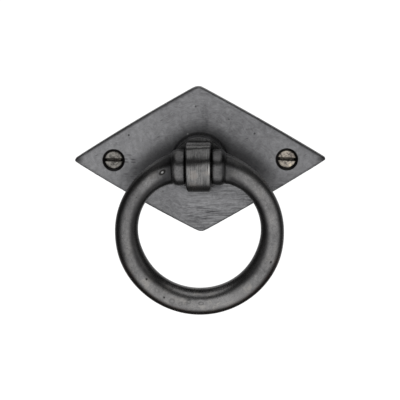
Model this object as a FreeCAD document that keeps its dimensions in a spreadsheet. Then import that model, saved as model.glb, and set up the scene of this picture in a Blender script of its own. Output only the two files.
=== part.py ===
"""Ring drop pull: a diamond backplate, a riveted post whose front is a knuckle, and a cast
ring that swings on a pin through that knuckle. Two countersunk wood screws hold the plate.

Millimetres. The plate stands upright with its back in the plane y = 0, its middle at the
origin and its front towards -Y. +Z is up, and the ring hangs down in front of the plate.
"""

import FreeCAD, Part
import math
import os

import Sketcher

V = FreeCAD.Vector
NORMAL = V(0, 0, 1)

# How a sketch numbers a curve's start, end and centre, and its own two axes.
START, END, CENTRE = range(1, 4)
X_AXIS, Y_AXIS = range(-1, -3, -1)
ORIGIN_POINT = (X_AXIS, START)

# Driving dimensions. Each row is the name, the size and what it measures.
SIZES = [
    ("plate_width", 81.4, "across the sharp side corners of the diamond"),
    ("plate_height", 47.1, "across the sharp top and bottom corners"),
    ("plate_thickness", 3.0, "sheet thickness"),
    ("side_corner_radius", 0.7, "round on the two sharp side corners"),
    ("end_corner_radius", 1.1, "round on the top and bottom corners"),
    ("rim_round", 0.45, "round along the plate's front edge"),
    ("screw_inset", 13.1, "screw's middle from the diamond's sharp side corner"),
    ("screw_hole_diameter", 3.2, "clearance hole behind the countersink"),
    ("countersink_diameter", 7.2, "mouth of a screw's countersink"),
    ("countersink_angle", 90.0, "included angle, also that of the head"),
    ("head_diameter", 5.76, "screw head"),
    ("head_land", 0.15, "straight edge of the screw head"),
    ("slot_width", 1.0, "driver slot"),
    ("slot_depth", 0.8, "driver slot below the head's top"),
    ("screw_shank_diameter", 3.0, "plain shank under the head"),
    ("thread_diameter", 2.6, "threaded length, drawn as its outer diameter"),
    ("thread_start_gap", 0.4, "from the plate's back to the first thread"),
    ("screw_length", 16.0, "head's top to the tip"),
    ("screw_tip_length", 3.0, "tapered point"),
    ("post_diameter", 16.9, "turned post"),
    ("pivot_reach", 13.7, "pivot axis in front of the plate's front"),
    ("knuckle_diameter", 15.0, "rounded front of the post"),
    ("lug_width", 7.6, "knuckle between its two flat sides"),
    ("lug_break", 0.5, "broken edges along the knuckle's two sides"),
    ("post_foot_break", 0.3, "broken edge where the post meets the plate"),
    ("tenon_diameter", 8.0, "post's tenon through the plate"),
    ("rivet_head_diameter", 10.4, "mouth of the countersink for the tenon's hammered end"),
    ("rivet_recess", 0.35, "hammered end below the plate's back"),
    ("pin_diameter", 4.0, "hinge pin"),
    ("pin_clearance", 0.06, "all round the pin in the ring's sockets"),
    ("pin_end_gap", 0.3, "pin's end to a socket's floor"),
    ("pin_chamfer", 0.3, "pin's ends"),
    ("socket_depth", 3.2, "pin socket in a collar"),
    ("collar_gap", 0.45, "ring's collar to the knuckle's side"),
    ("collar_length", 4.3, "collar along the pin"),
    ("collar_diameter", 11.9, "collar at its thickest"),
    ("collar_edge_break", 0.45, "collar's broken rim beside the knuckle"),
    ("collar_back_round", 1.9, "collar's rim where the arm grows out of it"),
    ("shoulder_clearance", 0.5, "collar's sweep to the post's shoulder"),
    ("ring_radius", 22.9, "middle line of the ring"),
    ("ring_drop", 20.0, "ring's centre below the pivot"),
    ("arm_bend_radius", 20.8, "middle line where an arm turns to its collar"),
    ("arm_bend_angle", 0.5, "where that bend starts, above the level of the ring's centre"),
    ("root_diameter", 10.9, "arm inside its collar"),
    ("throat_diameter", 8.6, "arm just outside its collar"),
    ("throat_share", 0.18, "of the bend, from the collar"),
    ("arm_diameter", 7.2, "arm halfway"),
    ("arm_share", 0.45, "of the bend, from the collar"),
    ("side_diameter", 7.3, "where the bend meets the ring"),
    ("flank_diameter", 8.0, "below the sides"),
    ("flank_angle", 22.0, "of the flank, below the level"),
    ("cheek_diameter", 8.24, "halfway to the bottom"),
    ("cheek_angle", 50.0, "of the cheek, below the level"),
    ("heel_diameter", 8.6, "thickest, at the ring's bottom"),
]


def make_sheet(doc):
    """The sheet of driving dimensions: a name, a size and a note in each row."""
    sheet = doc.addObject("Spreadsheet::Sheet", "Sizes")
    for row, (alias, size, note) in enumerate(SIZES, start=1):
        sheet.set(f"A{row}", alias)
        sheet.set(f"B{row}", str(size))
        sheet.set(f"C{row}", note)
        sheet.setAlias(f"B{row}", alias)
    doc.recompute()
    return sheet


def make_body(doc, label, place=None):
    """An empty body. place maps x, y or z to the formula of its position."""
    body = doc.addObject("PartDesign::Body", label)
    body.Label = label
    for axis, formula in (place or {}).items():
        body.setExpression(f"Placement.Base.{axis}", formula)
    return body


def add_sketch(body, role, name, offset=None):
    """A sketch on one of the body's own origin planes, lifted off it by a formula."""
    sketch = body.newObject("Sketcher::SketchObject", name)
    plane = next(f for f in body.Origin.OriginFeatures if f.Role == role)
    sketch.AttachmentSupport = [(plane, "")]
    sketch.MapMode = "FlatFace"
    if offset:
        sketch.setExpression("AttachmentOffset.Base.z", offset)
    return sketch


def constrain(sketch, kind, *where, formula=None, start=0.0):
    """Adds a constraint. A dimension starts at start and is bound to its formula."""
    if formula is None:
        return sketch.addConstraint(Sketcher.Constraint(kind, *where))
    index = sketch.addConstraint(Sketcher.Constraint(kind, *where, start))
    sketch.setExpression(f"Constraints[{index}]", formula)
    return index


def add_circle(sketch, diameter, formula, x=0.0, x_formula=None):
    """A circle on the sketch's X axis, or at its origin where no x_formula is given."""
    circle = sketch.addGeometry(Part.Circle(V(x, 0, 0), NORMAL, diameter / 2))
    if x_formula is None:
        constrain(sketch, "Coincident", circle, CENTRE, *ORIGIN_POINT)
    else:
        constrain(sketch, "PointOnObject", circle, CENTRE, X_AXIS)
        constrain(sketch, "DistanceX", *ORIGIN_POINT, circle, CENTRE, formula=x_formula, start=x)
    constrain(sketch, "Diameter", circle, formula=formula, start=diameter)
    return circle


def add_polygon(sketch, points):
    """A closed outline through points, its corners joined. Returns its first line's index."""
    count = len(points)
    first = sketch.GeometryCount
    for i, point in enumerate(points):
        after = points[(i + 1) % count]
        sketch.addGeometry(Part.LineSegment(V(*point, 0), V(*after, 0)))
    for i in range(count):
        constrain(sketch, "Coincident", first + i, END, first + (i + 1) % count, START)
    return first


def place_corners(sketch, first, corners, size):
    """Binds the corners of an outline. Each corner is a pair of formulas, x and y."""
    for i, (x_formula, y_formula) in enumerate(corners):
        for kind, formula, axis in (("DistanceX", x_formula, Y_AXIS), ("DistanceY", y_formula, X_AXIS)):
            if formula == "0":
                constrain(sketch, "PointOnObject", first + i, START, axis)
            else:
                constrain(
                    sketch, kind, *ORIGIN_POINT, first + i, START,
                    formula=formula, start=size(formula),
                )


def add_outline(sketch, corners, size):
    """A closed outline whose corners are pairs of formulas."""
    points = [(size(x), size(y)) for x, y in corners]
    first = add_polygon(sketch, points)
    place_corners(sketch, first, corners, size)
    return first


def add_feature(body, kind, name, profile=None, **settings):
    """A feature on the body's tip. A setting that is text with a size in it is a formula."""
    feature = body.newObject(f"PartDesign::{kind}", name)
    if profile is not None:
        feature.Profile = profile
    for key, value in settings.items():
        if isinstance(value, str) and "Sizes." in value:
            feature.setExpression(key, value)
        else:
            setattr(feature, key, value)
    body.Document.recompute()
    return feature


def dress_edges(body, kind, name, wanted, **settings):
    """A fillet or chamfer on the edges of the body's tip that wanted(edge) accepts."""
    base = body.Tip
    names = [f"Edge{i}" for i, edge in enumerate(base.Shape.Edges, start=1) if wanted(edge)]
    if not names:
        raise RuntimeError(f"{name}: no edge to work on")
    return add_feature(body, kind, name, Base=(base, names), **settings)


def must_shrink(body, before, name):
    """A cut that points away from the solid takes nothing off, so its volume is compared."""
    if not body.Shape.Volume < before - 1e-6:
        raise RuntimeError(f"{name} cut nothing")


# Each screw's middle, to the left or right of the plate's middle.
SCREW_OFFSET = "(Sizes.plate_width / 2 - Sizes.screw_inset)"


def make_backplate(doc, size):
    """A diamond of thick sheet with two countersunk screw holes and the post's rivet hole."""
    body = make_body(doc, "backplate")
    outline = add_sketch(body, "XZ_Plane", "plate_outline")
    add_outline(outline, [
        ("Sizes.plate_width / 2", "0"),
        ("0", "Sizes.plate_height / 2"),
        ("-Sizes.plate_width / 2", "0"),
        ("0", "-Sizes.plate_height / 2"),
    ], size)
    add_feature(body, "Pad", "plate", outline, Length="Sizes.plate_thickness")

    def corner(edge, side):
        a, b = (v.Point for v in edge.Vertexes)
        upright = abs(a.x - b.x) < 1e-6 and abs(a.z - b.z) < 1e-6
        return upright and (abs(a.x) > abs(a.z)) == side

    for name, side, radius in (
        ("side_corners", True, "Sizes.side_corner_radius"),
        ("end_corners", False, "Sizes.end_corner_radius"),
    ):
        dress_edges(body, "Fillet", name, lambda edge: corner(edge, side), Radius=radius)
    front = -size("Sizes.plate_thickness")
    dress_edges(
        body, "Fillet", "front_edge",
        lambda edge: all(abs(v.Y - front) < 1e-6 for v in edge.Vertexes),
        Radius="Sizes.rim_round",
    )

    centres = add_sketch(body, "XZ_Plane", "screw_centres", "Sizes.plate_thickness")
    for sign in ("-", ""):
        formula = f"{sign}{SCREW_OFFSET}"
        add_circle(
            centres, size("Sizes.screw_hole_diameter"), "Sizes.screw_hole_diameter",
            size(formula), formula,
        )
    before = body.Shape.Volume
    add_feature(
        body, "Hole", "screw_holes", centres, DepthType="ThroughAll",
        HoleCutType="Countersink", HoleCutCustomValues=True,
        Diameter="Sizes.screw_hole_diameter", HoleCutDiameter="Sizes.countersink_diameter",
        HoleCutCountersinkAngle="Sizes.countersink_angle",
    )
    must_shrink(body, before, "screw_holes")

    rivet = add_sketch(body, "XZ_Plane", "rivet_centre")
    add_circle(rivet, size("Sizes.tenon_diameter"), "Sizes.tenon_diameter")
    before = body.Shape.Volume
    add_feature(
        body, "Hole", "rivet_hole", rivet, Reversed=True, DepthType="ThroughAll",
        HoleCutType="Countersink", HoleCutCustomValues=True,
        Diameter="Sizes.tenon_diameter", HoleCutDiameter="Sizes.rivet_head_diameter",
        HoleCutCountersinkAngle="Sizes.countersink_angle",
    )
    must_shrink(body, before, "rivet_hole")
    return body


# How far the post's shoulder stands off the plate: the collars sweep round clear of it.
SHOULDER = "(Sizes.pivot_reach - Sizes.collar_diameter / 2 - Sizes.shoulder_clearance)"


def add_knuckle_outline(profile, size):
    """What is milled off round the knuckle, seen from the side: a C with a half round inside."""
    shoulder, pivot = -size(SHOULDER), -size("Sizes.pivot_reach")
    radius, outer = size("Sizes.knuckle_diameter") / 2, size("Sizes.post_diameter")
    ahead = pivot - outer
    corners = [
        (pivot, -radius), (shoulder, -radius), (shoulder, -outer), (ahead, -outer),
        (ahead, outer), (shoulder, outer), (shoulder, radius), (pivot, radius),
    ]
    for a, b in zip(corners, corners[1:]):
        profile.addGeometry(Part.LineSegment(V(*a, 0), V(*b, 0)))
    lines = len(corners) - 1
    circle = Part.Circle(V(pivot, 0, 0), NORMAL, radius)
    arc = profile.addGeometry(Part.ArcOfCircle(circle, math.pi / 2, 3 * math.pi / 2))
    for i in range(lines - 1):
        constrain(profile, "Coincident", i, END, i + 1, START)
    constrain(profile, "Tangent", lines - 1, END, arc, START)
    constrain(profile, "Tangent", arc, END, 0, START)
    for line in range(lines):
        constrain(profile, "Vertical" if line % 2 else "Horizontal", line)
    constrain(profile, "PointOnObject", arc, CENTRE, X_AXIS)
    constrain(profile, "Radius", arc, formula="Sizes.knuckle_diameter / 2", start=radius)
    for kind, line, formula in (
        ("DistanceX", 0, "-Sizes.pivot_reach"),
        ("DistanceX", 1, f"-{SHOULDER}"),
        ("DistanceX", 4, "-Sizes.pivot_reach - Sizes.post_diameter"),
        ("DistanceY", 2, "-Sizes.post_diameter"),
        ("DistanceY", 4, "Sizes.post_diameter"),
        ("DistanceX", 5, f"-{SHOULDER}"),
    ):
        constrain(
            profile, kind, *ORIGIN_POINT, line, START, formula=formula, start=size(formula)
        )


def make_post(doc, size):
    """A turned post, milled to a lug with a round knuckle, and riveted through the plate.

    Its own origin is the middle of its foot, on the plate's front.
    """
    body = make_body(doc, "post", {"y": "-Sizes.plate_thickness"})
    disc = add_sketch(body, "XZ_Plane", "post_round")
    add_circle(disc, size("Sizes.post_diameter"), "Sizes.post_diameter")
    add_feature(
        body, "Pad", "turned_blank", disc,
        Length="Sizes.pivot_reach + Sizes.knuckle_diameter / 2",
    )
    dress_edges(
        body, "Chamfer", "foot_break", lambda edge: abs(edge.CenterOfMass.y) < 1e-6,
        Size="Sizes.post_foot_break",
    )

    # Both flats of the lug, cut back from the front as far as the shoulder.
    for name, sign in (("left_flat", "-"), ("right_flat", "")):
        waste = add_sketch(body, "XZ_Plane", f"{name}_waste", SHOULDER)
        near, far = f"{sign}Sizes.lug_width / 2", f"{sign}Sizes.post_diameter"
        top, low = "Sizes.post_diameter", "-Sizes.post_diameter"
        add_outline(waste, [(near, low), (far, low), (far, top), (near, top)], size)
        before = body.Shape.Volume
        add_feature(body, "Pocket", name, waste, Type="ThroughAll", Reversed=True)
        must_shrink(body, before, name)

    # The knuckle's side view: what lies outside its round front and two level sides goes.
    profile = add_sketch(body, "YZ_Plane", "knuckle_profile")
    add_knuckle_outline(profile, size)
    before = body.Shape.Volume
    add_feature(
        body, "Pocket", "knuckle_front", profile, Midplane=True, Length="2 * Sizes.post_diameter"
    )
    must_shrink(body, before, "knuckle_front")

    half, shoulder = size("Sizes.lug_width") / 2, -size(SHOULDER)
    dress_edges(
        body, "Chamfer", "knuckle_edges",
        lambda edge: edge.CenterOfMass.y < shoulder - 1e-3
        and all(abs(abs(v.X) - half) < 1e-6 for v in edge.Vertexes)
        and abs(edge.CenterOfMass.x) > half - 1e-6,
        Size="Sizes.lug_break",
    )

    bore = add_sketch(body, "YZ_Plane", "pin_hole_circle")
    reach = "-Sizes.pivot_reach"
    add_circle(bore, size("Sizes.pin_diameter"), "Sizes.pin_diameter", size(reach), reach)
    before = body.Shape.Volume
    add_feature(body, "Pocket", "pin_hole", bore, Midplane=True, Length="2 * Sizes.lug_width")
    must_shrink(body, before, "pin_hole")

    # Tenon and hammered head, which fill the plate's hole and its countersink.
    cone = "(Sizes.rivet_head_diameter - Sizes.tenon_diameter) / 2 / tan(Sizes.countersink_angle / 2)"
    tenon = add_sketch(body, "XY_Plane", "tenon_profile")
    add_outline(tenon, [
        ("0", "0"),
        ("Sizes.tenon_diameter / 2", "0"),
        ("Sizes.tenon_diameter / 2", f"Sizes.plate_thickness - {cone}"),
        (
            "Sizes.rivet_head_diameter / 2 - Sizes.rivet_recess * tan(Sizes.countersink_angle / 2)",
            "Sizes.plate_thickness - Sizes.rivet_recess",
        ),
        ("0", "Sizes.plate_thickness - Sizes.rivet_recess"),
    ], size)
    add_feature(body, "Revolution", "tenon", tenon, ReferenceAxis=(tenon, ["V_Axis"]), Angle=360.0)
    return body


# Where a collar starts, beside the knuckle, and where the arm is rooted, half way through it.
COLLAR_NEAR = "(Sizes.lug_width / 2 + Sizes.collar_gap)"
ARM_ROOT = f"({COLLAR_NEAR} + Sizes.collar_length / 2)"


def add_middle_line(body, size):
    """The ring's middle line: a bend up to the left collar, the hoop, and the right bend."""
    spine = add_sketch(body, "XZ_Plane", "middle_line")
    radius, drop = size("Sizes.ring_radius"), size("Sizes.ring_drop")
    bend, angle = size("Sizes.arm_bend_radius"), math.radians(size("Sizes.arm_bend_angle"))
    root, reach = size(ARM_ROOT), radius - bend
    across, up = reach * math.cos(angle), reach * math.sin(angle) - drop
    root_angle = math.acos((root - across) / bend)
    left = spine.addGeometry(Part.ArcOfCircle(
        Part.Circle(V(-across, up, 0), NORMAL, bend), math.pi - root_angle, math.pi - angle,
    ))
    hoop = spine.addGeometry(Part.ArcOfCircle(
        Part.Circle(V(0, -drop, 0), NORMAL, radius), math.pi - angle, 2 * math.pi + angle,
    ))
    right = spine.addGeometry(Part.ArcOfCircle(
        Part.Circle(V(across, up, 0), NORMAL, bend), angle, root_angle,
    ))
    constrain(spine, "Tangent", left, END, hoop, START)
    constrain(spine, "Tangent", hoop, END, right, START)
    constrain(spine, "PointOnObject", hoop, CENTRE, Y_AXIS)
    constrain(
        spine, "DistanceY", hoop, CENTRE, *ORIGIN_POINT, formula="Sizes.ring_drop", start=drop
    )
    constrain(spine, "Radius", hoop, formula="Sizes.ring_radius", start=radius)
    rise = "Sizes.ring_radius * sin(Sizes.arm_bend_angle)"
    for arc, joint in ((left, START), (right, END)):
        constrain(spine, "Radius", arc, formula="Sizes.arm_bend_radius", start=bend)
        constrain(
            spine, "DistanceY", hoop, CENTRE, hoop, joint, formula=rise, start=size(rise)
        )
    constrain(spine, "DistanceX", left, START, *ORIGIN_POINT, formula=ARM_ROOT, start=root)
    constrain(spine, "DistanceX", *ORIGIN_POINT, right, END, formula=ARM_ROOT, start=root)
    body.Document.recompute()
    return spine


def add_bar_sections(body, spine, size):
    """Round sections across the middle line, from the left collar by the heel to the right."""
    def station(name, edge, along, diameter):
        """One section, at a share of one arc's length."""
        sketch = body.newObject("Sketcher::SketchObject", name)
        sketch.AttachmentSupport = [(spine, edge)]
        sketch.MapMode = "NormalToEdge"
        sketch.setExpression("MapPathParameter", along)
        add_circle(sketch, size(diameter), diameter)
        return sketch

    left_bend, hoop, right_bend = "Edge1", "Edge2", "Edge3"
    hoop_share = "(Sizes.arm_bend_angle + {0}) / (180 + 2 * Sizes.arm_bend_angle)"
    half = [
        ("root", left_bend, "0", "Sizes.root_diameter"),
        ("throat", left_bend, "Sizes.throat_share", "Sizes.throat_diameter"),
        ("arm", left_bend, "Sizes.arm_share", "Sizes.arm_diameter"),
        ("side", hoop, hoop_share.format("0"), "Sizes.side_diameter"),
        ("flank", hoop, hoop_share.format("Sizes.flank_angle"), "Sizes.flank_diameter"),
        ("cheek", hoop, hoop_share.format("Sizes.cheek_angle"), "Sizes.cheek_diameter"),
    ]
    opposite = {left_bend: right_bend, hoop: hoop}
    sections = [station(f"left_{name}", *row) for name, *row in half]
    sections.append(station("heel", hoop, hoop_share.format("90"), "Sizes.heel_diameter"))
    for name, edge, along, diameter in reversed(half):
        sections.append(station(f"right_{name}", opposite[edge], f"1 - ({along})", diameter))
    body.Document.recompute()
    return sections


def make_ring(doc, size):
    """The cast ring: a round bar that thickens to its heel and ends in two socketed collars.

    Its own origin is the middle of the pivot axis. The ring hangs in its own XZ plane.
    """
    body = make_body(doc, "ring", {"y": "-Sizes.plate_thickness - Sizes.pivot_reach"})
    sections = add_bar_sections(body, add_middle_line(body, size), size)
    add_feature(body, "AdditiveLoft", "bar", sections[0], Sections=sections[1:])

    # One collar: a thick disc round the pin.
    bead = add_sketch(body, "XZ_Plane", "collar_profile")
    add_disc_profile(
        bead, COLLAR_NEAR, f"({COLLAR_NEAR} + Sizes.collar_length)", "Sizes.collar_diameter / 2", size
    )
    collar = add_feature(
        body, "Revolution", "right_collar", bead, ReferenceAxis=(bead, ["H_Axis"]), Angle=360.0
    )

    # The blind socket that holds one end of the pin.
    socket = add_sketch(body, "YZ_Plane", "socket_circle", COLLAR_NEAR)
    bore = "Sizes.pin_diameter + 2 * Sizes.pin_clearance"
    add_circle(socket, size(bore), bore)
    before = body.Shape.Volume
    hole = add_feature(
        body, "Pocket", "right_socket", socket, Length="Sizes.socket_depth", Reversed=True
    )
    must_shrink(body, before, "right_socket")

    plane = next(f for f in body.Origin.OriginFeatures if f.Role == "YZ_Plane")
    body.Tip = add_feature(
        body, "Mirrored", "left_collar_and_socket", Originals=[collar, hole], MirrorPlane=(plane, [""])
    )
    doc.recompute()
    return body


def add_disc_profile(sketch, near, far, thick, size):
    """Half the section of a disc on the X axis from near to far: a broken rim, a crown, a round."""
    small, large = "Sizes.collar_edge_break", "Sizes.collar_back_round"
    x0, x1, top = size(near), size(far), size(thick)
    r0, r1 = size(small), size(large)
    corners = [(x1 - r1, top), (x0 + r0, top), (x0, top - r0), (x0, 0), (x1, 0), (x1, top - r1)]
    for a, b in zip(corners, corners[1:]):
        sketch.addGeometry(Part.LineSegment(V(*a, 0), V(*b, 0)))
    crown, rim, face, foot, back = range(5)
    back_rim = sketch.addGeometry(Part.ArcOfCircle(
        Part.Circle(V(x1 - r1, top - r1, 0), NORMAL, r1), 0, math.pi / 2,
    ))
    for line in range(4):
        constrain(sketch, "Coincident", line, END, line + 1, START)
    constrain(sketch, "Tangent", back, END, back_rim, START)
    constrain(sketch, "Tangent", back_rim, END, crown, START)
    constrain(sketch, "Horizontal", crown)
    constrain(sketch, "Vertical", face)
    constrain(sketch, "PointOnObject", foot, START, X_AXIS)
    constrain(sketch, "PointOnObject", foot, END, X_AXIS)
    constrain(sketch, "DistanceX", *ORIGIN_POINT, foot, START, formula=near, start=x0)
    constrain(sketch, "DistanceX", *ORIGIN_POINT, foot, END, formula=far, start=x1)
    constrain(sketch, "DistanceY", *ORIGIN_POINT, crown, START, formula=thick, start=top)
    constrain(sketch, "DistanceX", rim, END, rim, START, formula=small, start=r0)
    constrain(sketch, "DistanceY", rim, END, rim, START, formula=small, start=r0)
    constrain(sketch, "Radius", back_rim, formula=large, start=r1)


def make_pin(doc, size):
    """A plain steel pin, pressed through the knuckle, its ends free in the ring's sockets."""
    body = make_body(doc, "pivot_pin", {"y": "-Sizes.plate_thickness - Sizes.pivot_reach"})
    disc = add_sketch(body, "YZ_Plane", "pin_round")
    add_circle(disc, size("Sizes.pin_diameter"), "Sizes.pin_diameter")
    add_feature(
        body, "Pad", "pin", disc, Midplane=True,
        Length="Sizes.lug_width + 2 * (Sizes.collar_gap + Sizes.socket_depth - Sizes.pin_end_gap)",
    )
    dress_edges(
        body, "Chamfer", "pin_ends", lambda edge: len(edge.Vertexes) == 1,
        Size="Sizes.pin_chamfer",
    )
    return body


def make_screw(doc, size, label, sign):
    """A slotted countersunk wood screw, seated in its countersink below the plate's front.

    Its own origin is the middle of its head's top, and the point is towards +Y.
    """
    slope = "tan(Sizes.countersink_angle / 2)"
    sunk = f"(Sizes.countersink_diameter - Sizes.head_diameter) / 2 / {slope} - Sizes.head_land"
    body = make_body(doc, label, {
        "x": f"{sign}{SCREW_OFFSET}",
        "y": f"-Sizes.plate_thickness + {sunk}",
    })
    cone_end = f"Sizes.head_land + (Sizes.head_diameter - Sizes.screw_shank_diameter) / 2 / {slope}"
    thread_start = f"Sizes.plate_thickness - ({sunk}) + Sizes.thread_start_gap"
    turned = add_sketch(body, "XY_Plane", f"{label}_profile")
    add_outline(turned, [
        ("0", "0"),
        ("Sizes.head_diameter / 2", "0"),
        ("Sizes.head_diameter / 2", "Sizes.head_land"),
        ("Sizes.screw_shank_diameter / 2", cone_end),
        ("Sizes.screw_shank_diameter / 2", thread_start),
        ("Sizes.thread_diameter / 2", thread_start),
        ("Sizes.thread_diameter / 2", "Sizes.screw_length - Sizes.screw_tip_length"),
        ("0", "Sizes.screw_length"),
    ], size)
    add_feature(
        body, "Revolution", f"{label}_turned", turned, ReferenceAxis=(turned, ["V_Axis"]), Angle=360.0
    )
    slot = add_sketch(body, "XZ_Plane", f"{label}_slot_outline")
    wide, high = "Sizes.head_diameter", "Sizes.slot_width / 2"
    add_outline(slot, [
        (f"-{wide}", f"-{high}"), (wide, f"-{high}"), (wide, high), (f"-{wide}", high),
    ], size)
    before = body.Shape.Volume
    add_feature(body, "Pocket", f"{label}_slot", slot, Length="Sizes.slot_depth")
    must_shrink(body, before, f"{label}_slot")
    return body


def check_document(doc, bodies):
    """Stops where any object failed, or a sub-part is empty or not a sound solid."""
    for thing in doc.Objects:
        if {"Invalid", "Error"} & set(thing.State):
            raise RuntimeError(f"{thing.Name} is {thing.State}")
    for body in bodies:
        shape = body.Shape
        if shape.isNull() or not shape.isValid() or len(shape.Solids) != 1:
            raise RuntimeError(f"{body.Label} isn't one sound solid")


def build():
    """Makes the document and writes each sub-part's solid."""
    doc = FreeCAD.newDocument("DropPull")
    sheet = make_sheet(doc)

    def size(formula):
        """The value of a formula of the sheet's sizes."""
        return float(sheet.evalExpression(formula))

    bodies = [
        make_backplate(doc, size),
        make_post(doc, size),
        make_ring(doc, size),
        make_pin(doc, size),
        make_screw(doc, size, "screw_left", "-"),
        make_screw(doc, size, "screw_right", ""),
    ]
    doc.recompute()
    check_document(doc, bodies)
    os.makedirs("parts", exist_ok=True)
    for body in bodies:
        body.Shape.exportStep(f"parts/{body.Label}.step")
        box = body.Shape.BoundBox
        print(
            f"{body.Label}: {box.XLength:.2f} x {box.YLength:.2f} x {box.ZLength:.2f} mm,"
            f" volume {body.Shape.Volume:.1f} mm3"
        )


build()
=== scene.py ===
"""Looks of a ring drop pull: a dark bronze diamond backplate, a knuckle post, a cast ring that
swings on a hidden pin, and two slotted screws. Metres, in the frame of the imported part.
"""

import math

import bmesh
import bpy
from mathutils import Matrix, Vector


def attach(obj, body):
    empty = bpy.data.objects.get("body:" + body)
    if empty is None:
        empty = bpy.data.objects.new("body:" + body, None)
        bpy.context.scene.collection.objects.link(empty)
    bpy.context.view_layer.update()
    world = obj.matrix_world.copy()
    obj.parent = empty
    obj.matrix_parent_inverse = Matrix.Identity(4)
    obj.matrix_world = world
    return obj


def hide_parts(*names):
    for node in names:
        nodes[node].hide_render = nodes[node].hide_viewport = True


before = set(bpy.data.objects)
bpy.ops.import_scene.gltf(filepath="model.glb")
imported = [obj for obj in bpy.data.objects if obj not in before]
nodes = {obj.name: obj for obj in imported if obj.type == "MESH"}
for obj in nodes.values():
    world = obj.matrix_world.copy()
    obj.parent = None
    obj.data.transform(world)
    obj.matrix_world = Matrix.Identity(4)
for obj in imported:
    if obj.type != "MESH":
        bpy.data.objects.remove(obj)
bpy.context.view_layer.update()


# Camera
# The photograph looks at the pull from a little above and a little to its right, through a
# long lens, tilted by about half a degree.
IMAGE_PIXELS = 400
LENS_PIXELS = 1874.4
elevation, azimuth, roll = math.radians(11.89), math.radians(1.99), math.radians(-0.644)
target, distance = Vector((-0.00017, -0.003, -0.01309)), 0.6

look = Vector((
    -math.sin(azimuth) * math.cos(elevation),
    math.cos(azimuth) * math.cos(elevation),
    -math.sin(elevation),
))
level_right = Vector((math.cos(azimuth), math.sin(azimuth), 0.0))
level_up = level_right.cross(look)
right = level_right * math.cos(roll) + level_up * math.sin(roll)
up = right.cross(look)

lens = bpy.data.cameras.new("camera")
lens.sensor_width = 36.0
lens.lens = LENS_PIXELS / IMAGE_PIXELS * lens.sensor_width
lens.clip_start, lens.clip_end = 0.01, 20.0
camera = bpy.data.objects.new("camera", lens)
bpy.context.scene.collection.objects.link(camera)
turn = Matrix((right, up, -look)).transposed().to_4x4()
camera.matrix_world = Matrix.Translation(target - look * distance) @ turn
bpy.context.scene.camera = camera


# Studio
# A white tent of paper round the pull, lit evenly in front and overhead. It falls off to dark
# at both sides and in a gap over the camera, is dim behind, and only shows as reflections.
scene = bpy.context.scene
scene.view_settings.view_transform = "Standard"
world = bpy.data.worlds.new("studio")
scene.world = world
world.use_nodes = True
air = world.node_tree.nodes["Background"].inputs
air["Color"].default_value = (1, 1, 1, 1)
air["Strength"].default_value = 1.0

FLOOR_Z, FLOOR_SIZE = -0.3, 40.0
TENT_RADIUS, TENT_GAP = 3.0, 0.002
DARK = 0.05


def new_material(name):
    """A material with no nodes yet, and its tree."""
    made = bpy.data.materials.new(name)
    made.use_nodes = True
    made.node_tree.nodes.clear()
    return made, made.node_tree


def add(tree, kind, inputs=None, **settings):
    """A new node, with its settings and with numbers, colours or sockets for its inputs."""
    node = tree.nodes.new("ShaderNode" + kind)
    for name, value in settings.items():
        setattr(node, name, value)
    for key, value in (inputs or {}).items():
        if isinstance(value, bpy.types.NodeSocket):
            tree.links.new(value, node.inputs[key])
        else:
            node.inputs[key].default_value = value
    return node


def math_node(tree, operation, *values):
    """One Math node. Each value is a number or another node's socket."""
    return add(tree, "Math", dict(enumerate(values)), operation=operation).outputs[0]


def in_turn(operation):
    """A function that joins its values by one Math operation, from the first to the last."""
    def join(tree, first, *others):
        for other in others:
            first = math_node(tree, operation, first, other)
        return first
    return join


plus, less, times, most = map(in_turn, ("ADD", "SUBTRACT", "MULTIPLY", "MAXIMUM"))


def unsigned(tree, value):
    """A value without its sign."""
    return math_node(tree, "ABSOLUTE", value)


def fade(tree, value, start, end, level_start=0.0, level_end=1.0):
    """A smooth step of value, from level_start at start to level_end at end."""
    return add(tree, "MapRange", {
        "Value": value, "From Min": start, "From Max": end, "To Min": level_start, "To Max": level_end,
    }, interpolation_type="SMOOTHSTEP").outputs["Result"]


bpy.ops.object.select_all(action="DESELECT")
bpy.ops.mesh.primitive_uv_sphere_add(segments=144, ring_count=72, radius=TENT_RADIUS)
tent = bpy.context.object
tent.name = "tent"
for point in tent.data.vertices:
    if point.co.z < FLOOR_Z + TENT_GAP:
        point.co *= (FLOOR_Z + TENT_GAP) / point.co.z
tent.visible_camera = False
tent.visible_diffuse = False
tent.visible_shadow = False

# Its brightness goes by the direction from the pull, in degrees: side is round to the right
# of the camera, height is above level, over is up from the camera and back over the top, and
# aslant is how far to either side of that arch.
tent_paper, tree = new_material("tent_paper")
place = add(tree, "TexCoord").outputs["Object"]
aim = add(tree, "VectorMath", {0: place}, operation="NORMALIZE").outputs["Vector"]
x, y, z = add(tree, "SeparateXYZ", {0: aim}).outputs
forward = times(tree, y, -1.0)
side = math_node(tree, "DEGREES", math_node(tree, "ARCTAN2", x, forward))
height = math_node(tree, "DEGREES", math_node(tree, "ARCSINE", z))
over = math_node(tree, "DEGREES", math_node(tree, "ARCTAN2", z, forward))
aslant = unsigned(tree, math_node(tree, "DEGREES", math_node(tree, "ARCTAN2", x, z)))
round_back = unsigned(tree, side)

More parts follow.
